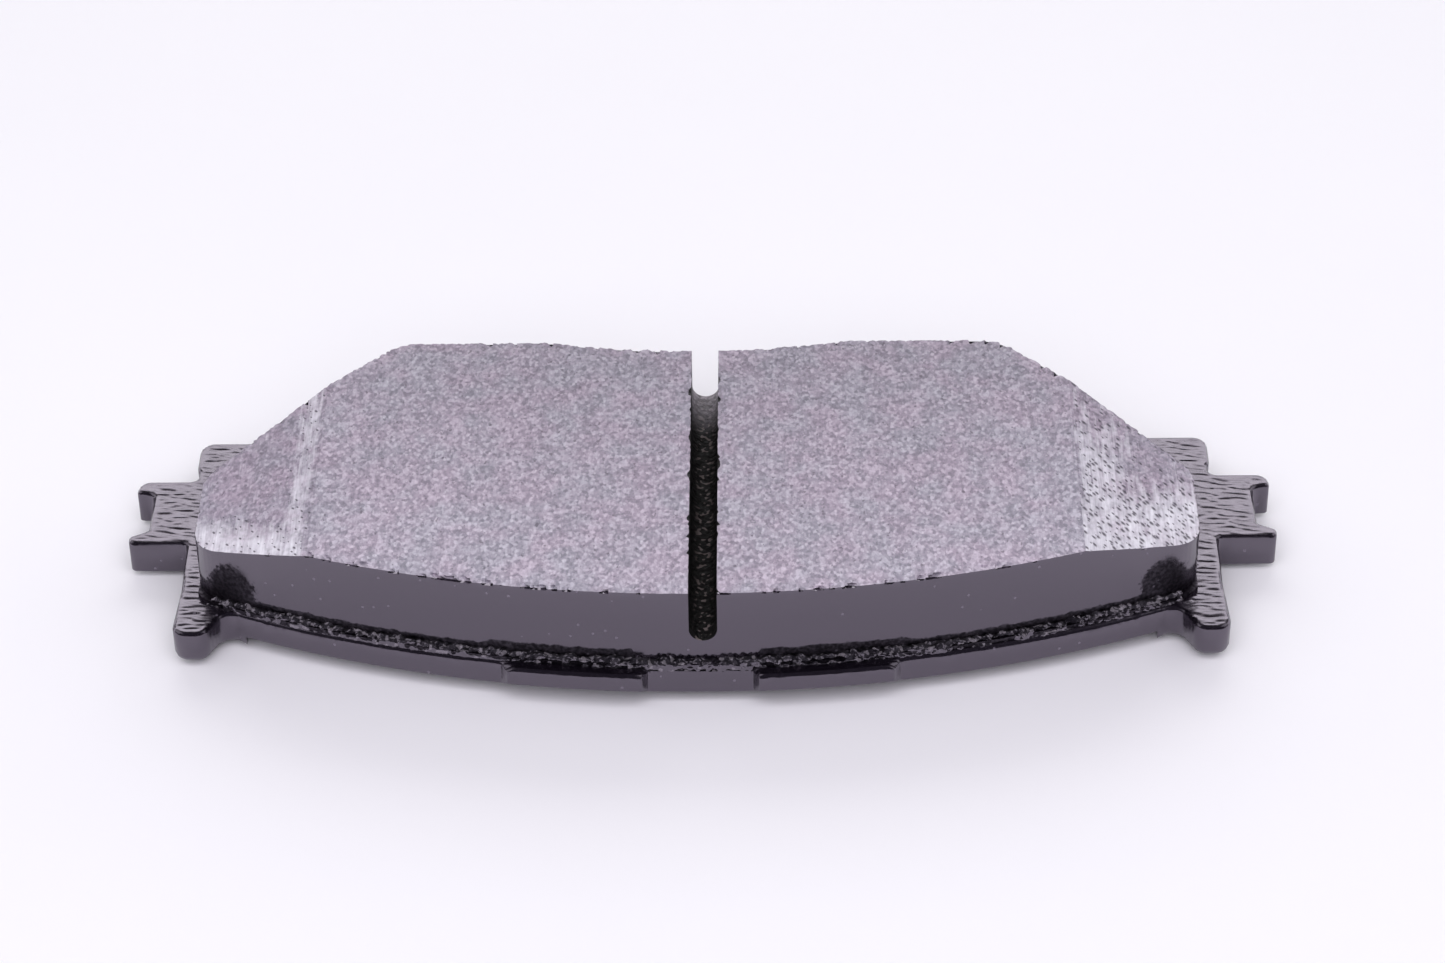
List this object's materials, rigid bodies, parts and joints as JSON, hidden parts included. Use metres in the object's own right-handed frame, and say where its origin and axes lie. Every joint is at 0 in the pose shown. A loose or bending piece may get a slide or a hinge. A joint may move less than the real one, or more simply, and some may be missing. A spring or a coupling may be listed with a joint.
{
  "type": "disc brake pad",
  "caption": "Disc brake pad: a stamped steel backing plate with notched ears, a slotted friction block with ramped ends, and a bonded noise shim on its back.",
  "frame": {"origin": "middle of the pad's outline, on the back of the noise shim", "axes": "+X along the pad from ear to ear, +Y towards the rotor's axis, +Z out of the friction face"},
  "size_m": [0.156, 0.0592, 0.0179],
  "materials": {
    "plate_paint": "glossy black coat over rippled steel",
    "bond": "cured adhesive film",
    "underlayer": "pressed compound under a black coat",
    "friction": "ground granular friction compound",
    "adhesive": "pressure-sensitive adhesive",
    "inner_rubber": "matt rubber coat",
    "shim_steel": "bare cut edge",
    "outer_rubber": "fine-grained matt rubber coat"
  },
  "bodies": {
    "root": {"backing_plate": "plate_paint", "bond_film": "bond", "underlayer": "underlayer", "friction_block": "friction", "shim_adhesive": "adhesive", "shim_inner_rubber": "inner_rubber", "shim_steel_core": "shim_steel", "shim_outer_rubber": "outer_rubber"}
  },
  "joints": []
}
